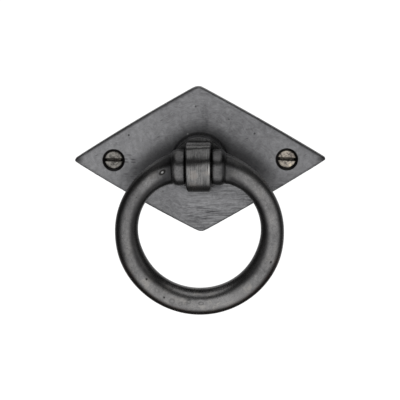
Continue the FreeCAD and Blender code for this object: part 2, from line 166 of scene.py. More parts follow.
front = times(tree, fade(tree, side, -80, -34, DARK, 1.0), fade(tree, side, 42, 92, 1.0, DARK))
front = times(tree, front, fade(tree, height, 14, 32, 1.0, DARK))
front = times(tree, front, fade(tree, height, -84, -68, DARK, 1.0))
above = times(tree, fade(tree, height, 46, 60, 0.0, 0.8), fade(tree, over, 104, 116, 1.0, DARK))
above = times(tree, above, fade(tree, aslant, 22, 44, 1.0, 0.2))
behind = fade(tree, round_back, 112, 134, DARK, 0.3)
behind = plus(tree, behind, fade(tree, round_back, 136, 165, 0.0, 0.3))
behind = times(tree, behind, fade(tree, height, -50, -28, 0.12, 1.0))
glow = add(tree, "Emission", {"Strength": most(tree, front, above, behind)})
add(tree, "OutputMaterial", {"Surface": glow.outputs[0]})
tent.data.materials.append(tent_paper)

# The floor is pale paper. The camera and reflections see it white, with the shadow left in.
bpy.ops.mesh.primitive_plane_add(size=FLOOR_SIZE, location=(0, 0, FLOOR_Z))
floor = bpy.context.object
floor.name = "floor"
floor_paper, tree = new_material("floor_paper")
diffuse = add(tree, "BsdfDiffuse", {"Color": (0.85, 0.85, 0.85, 1)})
rays = add(tree, "LightPath").outputs
seen = most(tree, rays["Is Camera Ray"], rays["Is Glossy Ray"], rays["Is Transmission Ray"])
glow = add(tree, "Emission", {"Strength": times(tree, seen, 0.25)})
both = add(tree, "AddShader", {0: diffuse.outputs[0], 1: glow.outputs[0]})
add(tree, "OutputMaterial", {"Surface": both.outputs[0]})
floor.data.materials.append(floor_paper)


# Backplate
# A flat diamond cut from 3 mm bronze sheet, filed along its rim and brushed by hand. It has a
# dark patina, with painted shade where the ring and the post shelter it, and two screws hold it.
MM = 0.001
HAIR = 0.01 * MM  # nearer than this is the same place
PLATE_FACE = -3.0
SCREW_X = 27.6
HALF_WIDTH, HALF_HEIGHT = 40.5 * MM, 23.78 * MM
BLANK_RADIUS = 40 * MM
STATION = 2 * MM
BORE, SINK_MOUTH = 1.6, 3.6
TENON_HOLE, RIVET_SINK = 4.0, 5.7


def new_group(name, result, **numbers):
    """A node group that turns a place and some numbers into one mask, and its two ends."""
    group = bpy.data.node_groups.new(name, "ShaderNodeTree")
    group.interface.new_socket("Place", in_out="INPUT", socket_type="NodeSocketVector")
    for label, number in numbers.items():
        socket = group.interface.new_socket(label, in_out="INPUT", socket_type="NodeSocketFloat")
        socket.default_value = number
    group.interface.new_socket(result, in_out="OUTPUT", socket_type="NodeSocketFloat")
    return group, group.nodes.new("NodeGroupInput").outputs, group.nodes.new("NodeGroupOutput").inputs


def use_group(tree, group, **inputs):
    """A group placed in a material with its own values; its one output."""
    return add(tree, "Group", inputs, node_tree=group).outputs[0]


def mix(tree, factor, first, second):
    """Blend two colours, or a colour and a socket, by a mask."""
    node = add(tree, "Mix", {0: factor, 6: first, 7: second}, data_type="RGBA")
    return node.outputs[2]


def stretch(tree, place, across, turn):
    """Places in mm, turned about Y and scaled: across is the size of the mark each way."""
    return add(tree, "Mapping", {
        "Vector": place, "Rotation": (0, math.radians(turn), 0), "Scale": across,
    }, vector_type="TEXTURE").outputs[0]


def reach(tree, place, middle, sizes=(1, 1, 1), turn=0.0):
    """How far a place is from a middle, in mm, or in shares of an ellipsoid's sizes."""
    moved = add(tree, "VectorMath", {0: place, 1: middle}, operation="SUBTRACT").outputs[0]
    scaled = stretch(tree, moved, sizes, turn)
    return add(tree, "VectorMath", {0: scaled}, operation="LENGTH").outputs["Value"]


# Clouds of patina.
clouds, given, made = new_group("clouds", "Tone", Size=5.0)
scaled = add(clouds, "VectorMath", {
    0: given["Place"], "Scale": math_node(clouds, "DIVIDE", 1.0, given["Size"]),
}, operation="SCALE")
cloud = add(clouds, "TexNoise", {
    "Vector": scaled.outputs[0], "Scale": 1.0, "Detail": 6.0, "Roughness": 0.62, "Distortion": 0.4,
})
clouds.links.new(fade(clouds, cloud.outputs[0], 0.3, 0.7), made["Tone"])

# Strokes of a brush or a file: long and thin, and broken into patches of their own direction.
strokes, given, made = new_group("strokes", "Tone", Turn=0.0, Spread=0.4, Along=5.0, Across=0.3)
patch = add(strokes, "TexNoise", {"Vector": given["Place"], "Scale": 0.16, "Detail": 2.0}).outputs[0]
sway = times(strokes, less(strokes, patch, 0.5), given["Spread"])
angle = plus(strokes, math_node(strokes, "RADIANS", given["Turn"]), sway)
aim = add(strokes, "VectorRotate", {"Vector": given["Place"], "Angle": angle}, rotation_type="Y_AXIS")
long = math_node(strokes, "DIVIDE", 1.0, given["Along"])
thin = math_node(strokes, "DIVIDE", 1.0, given["Across"])
sizes = add(strokes, "CombineXYZ", {0: long, 1: long, 2: thin})
drawn = add(strokes, "VectorMath", {0: aim.outputs[0], 1: sizes.outputs[0]}, operation="MULTIPLY")
stroke = add(strokes, "TexNoise", {
    "Vector": drawn.outputs[0], "Scale": 1.0, "Detail": 3.0, "Roughness": 0.65,
})
strokes.links.new(fade(strokes, stroke.outputs[0], 0.28, 0.72), made["Tone"])

# Pits in the casting: a share of the cells has one. On a stretched place they are scratches.
pits, given, made = new_group("pits", "Mask", Radius=0.1, Share=0.3)
cells = add(pits, "TexVoronoi", {"Vector": given["Place"], "Scale": 1.0})
chance = add(pits, "SeparateColor", {0: cells.outputs["Color"]}).outputs[0]
near = less(pits, 1.0, math_node(pits, "DIVIDE", cells.outputs["Distance"], given["Radius"]))
near = fade(pits, near, 0.0, 0.7)
has_pit = math_node(pits, "LESS_THAN", chance, given["Share"])
pits.links.new(times(pits, near, has_pit), made["Mask"])


def metal(name):
    """A bare metal's material: its tree, its shader and its places in mm."""
    made, tree = new_material(name)
    shader = add(tree, "BsdfPrincipled", {"Metallic": 1.0})
    tree.links.new(shader.outputs[0], add(tree, "OutputMaterial").inputs[0])
    place = add(tree, "TexCoord").outputs["Object"]
    place = add(tree, "VectorMath", {0: place, "Scale": 1 / MM}, operation="SCALE").outputs[0]
    return made, tree, shader, place


def finish_metal(tree, shader, color, roughness, height, depth_mm):
    """Join a metal's colour, roughness and height, which is 1 over depth_mm."""
    tree.links.new(color, shader.inputs["Base Color"])
    tree.links.new(roughness, shader.inputs["Roughness"])
    bump = add(tree, "Bump", {"Height": height, "Distance": depth_mm * MM, "Strength": 1.0})
    tree.links.new(bump.outputs[0], shader.inputs["Normal"])


def blend_tones(tree, *tones):
    """A weighted sum of tones about their middle, 0.5: each is (socket, weight)."""
    parts = [times(tree, less(tree, tone, 0.5), weight) for tone, weight in tones]
    return plus(tree, *parts, 0.5)


def settle(piece):
    """Put a new primitive's place into its mesh, with its object at the origin."""
    bpy.ops.object.transform_apply(location=True, rotation=True, scale=True)
    return piece


def take(piece):
    """Select one piece alone, in object mode."""
    bpy.ops.object.mode_set(mode="OBJECT")
    bpy.ops.object.select_all(action="DESELECT")
    piece.select_set(True)
    bpy.context.view_layer.objects.active = piece


def select_only(piece, kind, elements, wanted):
    """Leave only those elements of a piece selected that wanted() accepts, in edit mode."""
    bpy.ops.object.mode_set(mode="EDIT")
    bpy.ops.mesh.select_mode(type=kind)
    bpy.ops.mesh.select_all(action="DESELECT")
    bpy.ops.object.mode_set(mode="OBJECT")
    for element in getattr(piece.data, elements):
        element.select = wanted(element)
    bpy.ops.object.mode_set(mode="EDIT")


def select_points(piece, wanted):
    """Select the points whose place wanted() accepts."""
    select_only(piece, "VERT", "vertices", lambda point: wanted(point.co))


def select_edges(piece, wanted):
    """Select the edges whose two ends wanted() accepts."""
    select_only(piece, "EDGE", "edges", lambda edge: wanted(*(
        piece.data.vertices[i].co for i in edge.vertices
    )))


def select_faces(piece, wanted):
    """Select the faces whose middle and normal wanted() accepts."""
    select_only(piece, "FACE", "polygons", lambda face: wanted(face.center, face.normal))


def ease(offset_mm, segments):
    """Round the selected edges over."""
    bpy.ops.mesh.bevel(offset=offset_mm * MM, segments=segments, profile=0.5, affect="EDGES")


def cut_row(place, across):
    """Cut a row of edges through the whole piece by a plane."""
    bpy.ops.mesh.select_all(action="SELECT")
    bpy.ops.mesh.bisect(plane_co=place, plane_no=across)


def apply_modifier(piece, kind, **settings):
    """Add a modifier to a piece, set it and apply it."""
    take(piece)
    made = piece.modifiers.new(kind.lower(), kind)
    for name, value in settings.items():
        setattr(made, name, value)
    bpy.ops.object.modifier_apply(modifier=made.name)


def carve(piece, tool, operation="DIFFERENCE"):
    """Cut a tool's shape out of a piece, or join it on, and take the tool away."""
    apply_modifier(piece, "BOOLEAN", object=tool, operation=operation, solver="EXACT")
    bpy.data.objects.remove(tool)


def finish_piece(piece, body, slot, *replaced):
    """Close up a piece, turn its faces outwards, and hang it on its body."""
    take(piece)
    bpy.ops.object.mode_set(mode="EDIT")
    bpy.ops.mesh.select_all(action="SELECT")
    bpy.ops.mesh.remove_doubles(threshold=0.002 * MM)
    bpy.ops.mesh.normals_make_consistent(inside=False)
    if bmesh.from_edit_mesh(piece.data).calc_volume(signed=True) < 0:
        bpy.ops.mesh.flip_normals()
    bpy.ops.object.mode_set(mode="OBJECT")
    bpy.ops.object.shade_smooth_by_angle(angle=math.radians(32))
    bpy.ops.object.select_all(action="DESELECT")
    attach(piece, body)
    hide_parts(*replaced)


# The blank: a diamond cut by hand, so that each corner sits a little its own way. It is
# thickened, and its corners are worn round.
bpy.ops.mesh.primitive_circle_add(
    vertices=4, radius=BLANK_RADIUS, fill_type="NGON", rotation=(math.pi / 2, 0, 0),
)
plate = settle(bpy.context.object)
plate.name = "diamond_plate"
corners = [(Vector((x, 0, z)) * MM, worn) for x, z, worn in (
    (-40.62, 0.0, 1.25), (-0.4, 23.8, 1.57), (40.25, 0.0, 0.78), (0.1, -23.8, 1.45),
)]
for corner, worn in corners:
    select_points(plate, lambda point: point.normalized().dot(corner.normalized()) > 0.8)
    start = Vector([round(c / BLANK_RADIUS) for c in corner]) * BLANK_RADIUS
    bpy.ops.transform.translate(value=corner - start)
bpy.ops.mesh.select_all(action="SELECT")
bpy.ops.mesh.extrude_region_move(TRANSFORM_OT_translate={"value": (0, PLATE_FACE * MM, 0)})
for corner, worn in corners:
    select_edges(plate, lambda a, b: (
        abs(a.y - b.y) > 1 * MM and math.hypot(a.x - corner.x, a.z - corner.z) < HAIR
    ))
    ease(worn, 10)

# Its long sides bow out a little, each by its own amount, most half-way along.
for i in range(-19, 20):
    cut_row((i * STATION, 0, 0), (1, 0, 0))
for side_x, side_z, bow in ((-1, 1, 0.42), (1, 1, 0.32), (-1, -1, 0.58), (1, -1, 0.38)):
    for i in range(1, 20):
        row = i * STATION
        push = bow * MM * (1 - (2 * row / HALF_WIDTH - 1) ** 2)
        select_points(plate, lambda point: abs(side_x * point.x - row) < HAIR and side_z * point.z > 0)
        bpy.ops.transform.translate(value=(side_x * push * 0.5, 0, side_z * push * 0.866))

# Its rims are eased, the front one more.
rim_edge = 2.6 * MM
select_edges(plate, lambda a, b: max(a.y, b.y) < PLATE_FACE * MM + HAIR and (a - b).length < rim_edge)
ease(0.45, 5)
select_edges(plate, lambda a, b: min(a.y, b.y) > -HAIR and (a - b).length < rim_edge)
ease(0.12, 2)

# Its holes: two countersunk for the screws, and one for the post, countersunk at the back.
for x, front_y, front_radius, back_y, back_radius in (
    (-SCREW_X, -4.0, BORE, 1.0, BORE), (-SCREW_X, -3.5, SINK_MOUTH + 0.5, -1.0, BORE),
    (SCREW_X, -4.0, BORE, 1.0, BORE), (SCREW_X, -3.5, SINK_MOUTH + 0.5, -1.0, BORE),
    (0.0, -4.0, TENON_HOLE, 1.0, TENON_HOLE), (0.0, -1.2, TENON_HOLE, 0.5, RIVET_SINK),
):
    bpy.ops.object.mode_set(mode="OBJECT")
    bpy.ops.object.select_all(action="DESELECT")
    bpy.ops.mesh.primitive_cone_add(
        vertices=96, radius1=back_radius * MM, radius2=front_radius * MM, depth=(back_y - front_y) * MM,
        location=(x * MM, (front_y + back_y) / 2 * MM, 0), rotation=(math.pi / 2, 0, 0),
    )
    carve(plate, settle(bpy.context.object))
for x in (-SCREW_X, SCREW_X):
    mouth = Vector((x, PLATE_FACE, 0)) * MM
    select_edges(plate, lambda a, b: max(
        abs((end - mouth).length - SINK_MOUTH * MM) for end in (a, b)
    ) < 2 * HAIR)
    ease(0.1, 2)

# Rows of points over it, for the unevenness that the file and the brush leave.
bpy.ops.mesh.select_mode(type="VERT")
for i in range(-40, 41):
    cut_row((i * MM, 0, 0), (1, 0, 0))
for i in range(-23, 24):
    cut_row((0, 0, i * MM), (0, 0, 1))
bpy.ops.object.mode_set(mode="OBJECT")
face_points = [point.index for point in plate.data.vertices if point.co.y < PLATE_FACE * MM + HAIR]
plate.vertex_groups.new(name="front").add(face_points, 1.0, "REPLACE")
waves = bpy.data.textures.new("waves", "CLOUDS")
waves.noise_scale = 4.5 * MM
apply_modifier(
    plate, "DISPLACE", texture=waves, texture_coords="LOCAL", direction="Y", strength=0.06 * MM,
    mid_level=0.5, vertex_group="front",
)

# The filed rim isn't quite straight.
select_points(plate, lambda point: (
    point.y < (PLATE_FACE + 0.44) * MM and abs(point.x) < 38 * MM and abs(point.z) < 22 * MM
    and abs(point.x) / HALF_WIDTH + abs(point.z) / HALF_HEIGHT > 0.98
))
bpy.ops.transform.vertex_random(offset=0.03 * MM, uniform=1.0, normal=0.0, seed=7)

# Its patina: brushed level and across, paler to the left, rubbed at the lower corner.
plate_metal, tree, shader, place = metal("plate_patina")
x, y, z = add(tree, "SeparateXYZ", {0: place}).outputs
broad = use_group(tree, clouds, Place=place, Size=8.0)
fine = use_group(tree, clouds, Place=place, Size=1.3)
level_strokes = use_group(tree, strokes, Place=place, Turn=2.0, Spread=1.6, Along=3.2, Across=0.28)
cross_strokes = use_group(tree, strokes, Place=place, Turn=-34.0, Spread=1.2, Along=4.5, Across=0.35)
short_strokes = use_group(tree, strokes, Place=place, Turn=4.0, Spread=0.8, Along=1.1, Across=0.2)
tone = blend_tones(
    tree, (broad, 0.22), (fine, 0.3), (level_strokes, 0.34), (cross_strokes, 0.2), (short_strokes, 0.2),
)
tone = plus(tree, tone, fade(tree, x, -4, -20, 0.0, 0.14))
low = times(tree, fade(tree, z, -6, -9), fade(tree, x, -9, 2))
low_lines = use_group(tree, strokes, Place=place, Turn=2.0, Spread=0.15, Along=7.0, Across=0.36)
low_lines = times(tree, less(tree, low_lines, 0.35), low)
tone = plus(tree, tone, times(tree, low_lines, 0.6))
rubbed = fade(tree, reach(tree, place, (-0.4, PLATE_FACE, -17.0), (5.0, 4.0, 3.2)), 1.25, 0.5)
rubbed_lines = use_group(tree, strokes, Place=place, Turn=2.0, Spread=0.1, Along=5.5, Across=0.42)
rubbed_lines = fade(tree, rubbed_lines, 0.62, 0.3, 0.12, -0.6)
tone = plus(tree, tone, times(tree, rubbed_lines, rubbed))
streak = fade(tree, reach(tree, place, (1.7, PLATE_FACE, 13.5), (1.7, 4.0, 5.5)), 1.3, 0.3, 0.0, 0.2)
tone = less(tree, tone, streak)
color = mix(tree, tone, (0.13, 0.13, 0.135, 1), (0.305, 0.305, 0.313, 1))

# Long level scratches low on the right, a few short ones all over, a dark score below the
# knuckle, nicks near the top corner, and dashes beside the left screw.
scratch_place = stretch(tree, place, (7.5, 7.5, 0.6), 2.0)
scratches = use_group(tree, pits, Place=scratch_place, Radius=0.45, Share=0.7)
scratches = times(tree, scratches, low)
stray_place = stretch(tree, place, (5.0, 5.0, 1.6), -28.0)
stray = use_group(tree, pits, Place=stray_place, Radius=0.16, Share=0.4)
score = fade(tree, reach(tree, place, (0.8, PLATE_FACE, -11.1), (2.7, 4.0, 0.3)), 1.3, 0.5, 0.0, 0.45)
nicks = use_group(tree, pits, Place=stretch(tree, place, (0.9, 0.9, 0.9), 15.0), Radius=0.3, Share=0.4)
nicks = times(tree, nicks, fade(tree, reach(tree, place, (-1.8, PLATE_FACE, 15.2)), 5.0, 2.0, 0.0, 0.6))
dashes = use_group(tree, pits, Place=stretch(tree, place, (2.4, 2.4, 0.8), 4.0), Radius=0.5, Share=0.8)
by_screw = fade(tree, reach(tree, place, (-22.4, PLATE_FACE, -1.8), (2.8, 4.0, 4.2)), 1.2, 0.6)
nicks = most(tree, nicks, times(tree, dashes, by_screw))
scored = most(tree, scratches, times(tree, stray, 0.7))
scored = most(tree, scored, nicks, score)
color = mix(tree, times(tree, scored, 0.65), color, (0.05, 0.05, 0.052, 1))

# Specks: one bright nick beside the post, and dark ones.
for spot, radius, shade, strength in (
    ((-3.84, PLATE_FACE, 8.4), 0.42, 0.6, 0.9),
    ((-1.2, PLATE_FACE, 17.2), 0.5, 0.04, 0.8),
    ((-22.6, PLATE_FACE, 8.1), 0.45, 0.03, 0.9),
    ((17.4, PLATE_FACE, 8.4), 0.5, 0.04, 0.8),
    ((9.3, PLATE_FACE, 13.0), 0.35, 0.05, 0.7),
    ((-12.0, PLATE_FACE, -10.2), 0.4, 0.06, 0.6),
):
    mark = fade(tree, reach(tree, place, spot), radius, radius * 0.3, 0.0, strength)
    color = mix(tree, mark, color, (shade, shade, shade, 1))

# Painted shade round the post's foot and behind the ring's arms, and a painted contact shadow round the
# foot.
by_post = fade(tree, reach(tree, place, (0.4, PLATE_FACE, 0.3)), 7.6, 13.4, 1.0, 0.0)
flat = add(tree, "CombineXYZ", {0: x, 1: 0.0, 2: z}).outputs[0]
from_hoop = less(tree, reach(tree, flat, (0.0, 0.0, -21.5)), 24.5)
by_ring = fade(tree, unsigned(tree, from_hoop), 1.5, 7.0, 1.0, 0.0)
by_ring = times(tree, by_ring, fade(tree, z, -9, -2))
front_only = fade(tree, y, PLATE_FACE + 0.6, PLATE_FACE + 0.1)
post_and_arm_shade = most(tree, by_post, times(tree, by_ring, 0.75))
post_and_arm_shade = times(tree, post_and_arm_shade, front_only, 0.8)
foot_contact_shadow = fade(tree, reach(tree, place, (0.0, PLATE_FACE, 0.0)), 10.2, 8.6, 0.0, 0.95)
color = mix(tree, most(tree, post_and_arm_shade, foot_contact_shadow), color, (0.025, 0.025, 0.026, 1))

# The filed rim carries painted shade, stronger on its upper edges and most at the two side tips.
# How far a place is from the rim follows the bow of the long sides.
along_x = times(tree, unsigned(tree, x), MM / HALF_WIDTH)
along_z = times(tree, unsigned(tree, z), MM / HALF_HEIGHT)
from_rim = less(tree, 1.0, plus(tree, along_x, along_z))
from_rim = times(tree, from_rim, 20.5)
bowed = math_node(tree, "POWER", less(tree, along_z, along_x), 2.0)
bowed = times(tree, less(tree, 1.0, bowed), 0.36)
from_rim = plus(tree, from_rim, bowed)
from_rim = less(tree, from_rim, fade(tree, x, 16, 34, 0.0, 0.25))
rim_shade = times(tree, fade(tree, from_rim, 0.85, 0.25), fade(tree, z, -4, 4, 0.35, 0.68))
rim_shade = times(tree, rim_shade, fade(tree, unsigned(tree, x), 6, 20, 0.75, 1.0))
tip_shade = fade(tree, unsigned(tree, x), 36.3, 39.3, 0.0, 0.88)
tip_shade = times(tree, tip_shade, fade(tree, z, -1.4, 0.2, 0.5, 1.0))
color = mix(tree, most(tree, rim_shade, tip_shade), color, (0.028, 0.027, 0.029, 1))

# The countersinks are painted near black: painted shade in the recess round each screw head.
beside = less(tree, unsigned(tree, x), SCREW_X)
sink_place = add(tree, "CombineXYZ", {0: beside, 1: 0.0, 2: z}).outputs[0]
countersink_shade = fade(tree, reach(tree, sink_place, (0.0, 0.0, 0.0)), 3.75, 3.45)
color = mix(tree, times(tree, countersink_shade, 0.93), color, (0.01, 0.009, 0.008, 1))

# The back and the hole are rough bronze, less dark than the front.
bare = fade(tree, y, -0.5, -0.1)
raw = mix(tree, broad, (0.24, 0.215, 0.175, 1), (0.4, 0.36, 0.29, 1))
color = mix(tree, times(tree, bare, 0.85), color, raw)

rough = plus(tree, times(tree, tone, -0.16), 0.5)
height = blend_tones(tree, (level_strokes, 0.5), (cross_strokes, 0.3), (fine, 0.5), (broad, 0.8))
height = less(tree, height, scored)
finish_metal(tree, shader, color, rough, height, 0.012)
plate.data.materials.append(plate_metal)
finish_piece(plate, "plate", "dark_bronze", "backplate")


# Post
# The post is one turned piece with a round foot, milled to a flat lug that ends in a round
# knuckle, and eased with a file. Its tenon is hammered over in the back of the plate.
PIVOT_Y = -16.7 * MM
LUG_HALF = 3.8 * MM
KNUCKLE_RADIUS = 7.5 * MM
FOOT_RADIUS = 8.45 * MM
FOOT_BACK, SHOULDER = -3.0 * MM, -10.25 * MM
LUG_BACK = SHOULDER + 1.0 * MM
NECK_FRONT, NECK_BACK = -13.75 * MM, -13.45 * MM
TENON_RADIUS, TENON_END = 4.0 * MM, -1.2 * MM
RIVET_RADIUS, RIVET_TOP = 4.85 * MM, -0.35 * MM
PIN_HOLE_RADIUS = 2.0 * MM


def soft(radius_mm):
    """The settings of a move that fades out over a radius round what is selected."""
    return {
        "use_proportional_edit": True, "proportional_edit_falloff": "SMOOTH",
        "proportional_size": radius_mm * MM, "use_proportional_connected": True,
    }


# The lug: a disc across the pin, cut in half and drawn back to the shoulder.
bpy.ops.mesh.primitive_circle_add(
    vertices=144, radius=KNUCKLE_RADIUS, fill_type="NGON",
    location=(-LUG_HALF, PIVOT_Y, 0), rotation=(0, math.pi / 2, 0),
)
post = settle(bpy.context.object)
post.name = "knuckle_post"
bpy.ops.object.mode_set(mode="EDIT")
bpy.ops.mesh.select_all(action="SELECT")
bpy.ops.mesh.bisect(plane_co=(0, PIVOT_Y, 0), plane_no=(0, 1, 0), clear_outer=True)
select_edges(post, lambda a, b: min(a.y, b.y) > PIVOT_Y - HAIR)
bpy.ops.mesh.extrude_edges_move(TRANSFORM_OT_translate={"value": (0, LUG_BACK - PIVOT_Y, 0)})
bpy.ops.mesh.select_all(action="SELECT")
bpy.ops.mesh.extrude_region_move(TRANSFORM_OT_translate={"value": (2 * LUG_HALF, 0, 0)})
bpy.ops.mesh.select_all(action="SELECT")
bpy.ops.mesh.normals_make_consistent(inside=False)

# Rows across the lug's round, for the file's unevenness.
select_edges(post, lambda a, b: abs(a.x - b.x) > LUG_HALF and max(a.y, b.y) < LUG_BACK - HAIR)
bpy.ops.mesh.subdivide(number_cuts=13)

# Behind the knuckle the lug is filed a little narrower all round.
for y in (NECK_FRONT, NECK_BACK):
    cut_row((0, y, 0), (0, 1, 0))
select_points(post, lambda point: point.y > NECK_BACK - 5 * HAIR)
bpy.ops.transform.resize(value=(0.95, 1, 0.968), center_override=(0, PIVOT_Y, 0))

# The knuckle was filed a little askew: its round dips at the left and rises at the right.
for edge_x, rise in ((-LUG_HALF, -0.45 * MM), (LUG_HALF, 0.7 * MM)):
    select_points(post, lambda point: (
        abs(point.x - edge_x) < HAIR and abs(point.z - 2 * MM) < 0.4 * MM and point.y < PIVOT_Y
    ))
    bpy.ops.transform.translate(value=(0, 0, rise), **soft(5))

# Its chin is narrower.
select_points(post, lambda point: point.z < -6.9 * MM and point.y < PIVOT_Y + 1 * MM)
bpy.ops.transform.resize(value=(0.92, 1, 1), center_override=(0, PIVOT_Y, 0), **soft(2))

# Its left side leans out a little towards the top.
select_points(post, lambda point: (
    abs(point.x + LUG_HALF) < HAIR and point.z > 5.5 * MM and abs(point.y - PIVOT_Y) < 5 * MM
))
bpy.ops.transform.translate(value=(-0.1 * MM, 0, 0), **soft(6))

# A fine groove runs across its top, at 64 degrees up from the front and a little aslant.
select_points(post, lambda point: point.y < PIVOT_Y and abs(
    math.degrees(math.atan2(point.z, PIVOT_Y - point.y)) - 64.0 - 0.5 * point.x / MM
) < 1.4)
bpy.ops.transform.resize(value=(1, 0.983, 0.983), center_override=(0, PIVOT_Y, 0))

# The lug's sides are eased all round.
select_edges(post, lambda a, b: (
    abs(abs(a.x) - LUG_HALF) < 0.38 * MM and abs(a.x - b.x) < 0.25 * MM and (a - b).length < 7 * MM
    and (max(a.y, b.y) < PIVOT_Y + HAIR or min(abs(a.z), abs(b.z)) > KNUCKLE_RADIUS - 0.3 * MM)
))
ease(0.42, 4)
bpy.ops.object.mode_set(mode="OBJECT")

# The foot, with its front rim eased, and the tenon and rivet head behind it.
bpy.ops.mesh.primitive_cylinder_add(
    vertices=160, radius=FOOT_RADIUS, depth=FOOT_BACK - SHOULDER,
    location=(0, (FOOT_BACK + SHOULDER) / 2, 0), rotation=(math.pi / 2, 0, 0),
)
foot = settle(bpy.context.object)
select_edges(foot, lambda a, b: max(a.y, b.y) < SHOULDER + HAIR)
ease(0.35, 4)
select_faces(foot, lambda middle, normal: normal.y > 0.9)
bpy.ops.mesh.inset(thickness=FOOT_RADIUS - TENON_RADIUS)
bpy.ops.mesh.extrude_region_move(TRANSFORM_OT_translate={"value": (0, TENON_END - FOOT_BACK, 0)})
bpy.ops.mesh.extrude_region_move(TRANSFORM_OT_translate={"value": (0, RIVET_TOP - TENON_END, 0)})
flare = RIVET_RADIUS / TENON_RADIUS
bpy.ops.transform.resize(value=(flare, 1, flare), center_override=(0, RIVET_TOP, 0))
for inwards, swell in ((0.5, 0.12), (1.6, 0.08)):
    bpy.ops.mesh.inset(thickness=inwards * MM)
    bpy.ops.transform.translate(value=(0, swell * MM, 0))
carve(post, foot, "UNION")

# The hole for the pin.
bpy.ops.object.select_all(action="DESELECT")
bpy.ops.mesh.primitive_cylinder_add(
    vertices=64, radius=PIN_HOLE_RADIUS, depth=20 * MM, location=(0, PIVOT_Y, 0),
    rotation=(0, math.pi / 2, 0),
)
carve(post, settle(bpy.context.object))

# The same patina, worn warm on the lug by hands, with the file's strokes and pits running
# round the knuckle.
post_metal, tree, shader, place = metal("post_patina")
x, y, z = add(tree, "SeparateXYZ", {0: place}).outputs
broad = use_group(tree, clouds, Place=place, Size=4.0)
fine = use_group(tree, clouds, Place=place, Size=0.8)
file_strokes = use_group(tree, strokes, Place=place, Turn=90.0, Spread=0.15, Along=7.0, Across=0.22)
tone = blend_tones(tree, (broad, 0.35), (fine, 0.3), (file_strokes, 0.8))
color = mix(tree, tone, (0.095, 0.094, 0.094, 1), (0.27, 0.267, 0.265, 1))
pit_place = stretch(tree, place, (0.5, 1.6, 1.6), 0.0)
file_pits = use_group(tree, pits, Place=pit_place, Radius=0.4, Share=0.3)
color = mix(tree, times(tree, file_pits, 0.5), color, (0.03, 0.03, 0.03, 1))
worn = times(tree, fade(tree, z, 2.5, -0.5), fade(tree, broad, 0.45, 0.9, 0.0, 0.35))
color = mix(tree, worn, color, (0.34, 0.3, 0.27, 1))

# A painted dark band and a thin painted line above it, painted reflections, cross the knuckle a
# little aslant. Painted shade darkens its top and chin, and painted highlights light its top edge and a
# corner.
ripple = times(tree, less(tree, broad, 0.5), 0.7)
slant = plus(tree, less(tree, z, times(tree, x, 0.1)), ripple)
band = fade(tree, unsigned(tree, less(tree, slant, 3.6)), 0.3, 2.1, 0.58, 0.0)
line = plus(tree, times(tree, x, -0.05), times(tree, ripple, 0.35))
line = unsigned(tree, less(tree, plus(tree, z, line), 6.75))
line = fade(tree, line, 0.12, 0.42, 0.9, 0.0)
upper = fade(tree, z, 1.5, 5.0, 0.0, 0.25)
top_edge_highlight = times(tree, fade(tree, z, 6.95, 7.15, 0.0, 0.85), fade(tree, y, -13.4, -13.7))
by_top = fade(tree, y, -17.6, -16.2)
top_highlight_tone = mix(tree, by_top, (0.28, 0.275, 0.27, 1), (0.85, 0.83, 0.82, 1))
chin = fade(tree, z, -2.0, -5.4, 0.0, 0.52)
knuckle_shade = most(tree, band, line, upper, chin)
color = mix(tree, knuckle_shade, color, (0.03, 0.029, 0.029, 1))
color = mix(tree, top_edge_highlight, color, top_highlight_tone)
corner_glint = fade(tree, reach(tree, place, (3.6, -24.1, 0.7), (0.45, 2.0, 1.6)), 1.3, 0.4, 0.0, 0.45)
color = mix(tree, corner_glint, color, (0.75, 0.74, 0.72, 1))

# It is painted black at the foot and the neck as painted shade, with a painted highlight on the top
# of the foot's round and painted shade down the lug's two sides. The tenon behind is raw bronze.
foot_shade = fade(tree, y, -12.0, -10.3, 0.0, 0.72)
foot_top_highlight = times(tree, fade(tree, y, -10.2, -10.0), fade(tree, z, 6.5, 7.6))
foot_top_highlight = times(tree, foot_top_highlight, fade(tree, unsigned(tree, x), 3.0, 5.5, 1.0, 0.0))
foot_shade = less(tree, foot_shade, times(tree, foot_top_highlight, 0.6))
neck_shade = times(tree, fade(tree, y, -13.5, -13.2, 0.0, 0.6), fade(tree, y, -10.4, -10.3, 1.0, 0.0))
foot_shade = most(tree, foot_shade, neck_shade)
color = mix(tree, foot_shade, color, (0.03, 0.03, 0.031, 1))
color = mix(tree, times(tree, foot_top_highlight, 0.4), color, (0.4, 0.4, 0.41, 1))
side_shade = fade(tree, unsigned(tree, x), 3.35, 3.75, 0.0, 0.45)
left_low = times(tree, fade(tree, x, -3.0, -3.5, 0.0, 0.6), fade(tree, z, -0.5, -2.0))
side_shade = most(tree, side_shade, left_low)
color = mix(tree, side_shade, color, (0.03, 0.03, 0.03, 1))
raw = mix(tree, broad, (0.24, 0.215, 0.175, 1), (0.42, 0.38, 0.3, 1))
color = mix(tree, fade(tree, y, -3.4, -2.8, 0.0, 0.85), color, raw)
rough = plus(tree, times(tree, tone, -0.12), 0.36)
height = blend_tones(tree, (file_strokes, 1.0), (fine, 0.5), (broad, 1.2), (file_pits, -0.8))
finish_metal(tree, shader, color, rough, height, 0.01)
post.data.materials.append(post_metal)
finish_piece(post, "plate", "dark_bronze", "post")


# Pivot pin
# The hinge pin, ground from steel rod and pressed through the knuckle. The ring's collars
# turn on its two ends, and it shows only in the slits beside them.
pin_metal, tree, shader, place = metal("ground_steel")
turning = use_group(tree, strokes, Place=place, Turn=90.0, Spread=0.05, Along=6.0, Across=0.12)
soot = use_group(tree, clouds, Place=place, Size=1.5)
tone = blend_tones(tree, (turning, 0.6), (soot, 0.5))
color = mix(tree, tone, (0.1, 0.1, 0.105, 1), (0.34, 0.34, 0.35, 1))
x, y, z = add(tree, "SeparateXYZ", {0: place}).outputs
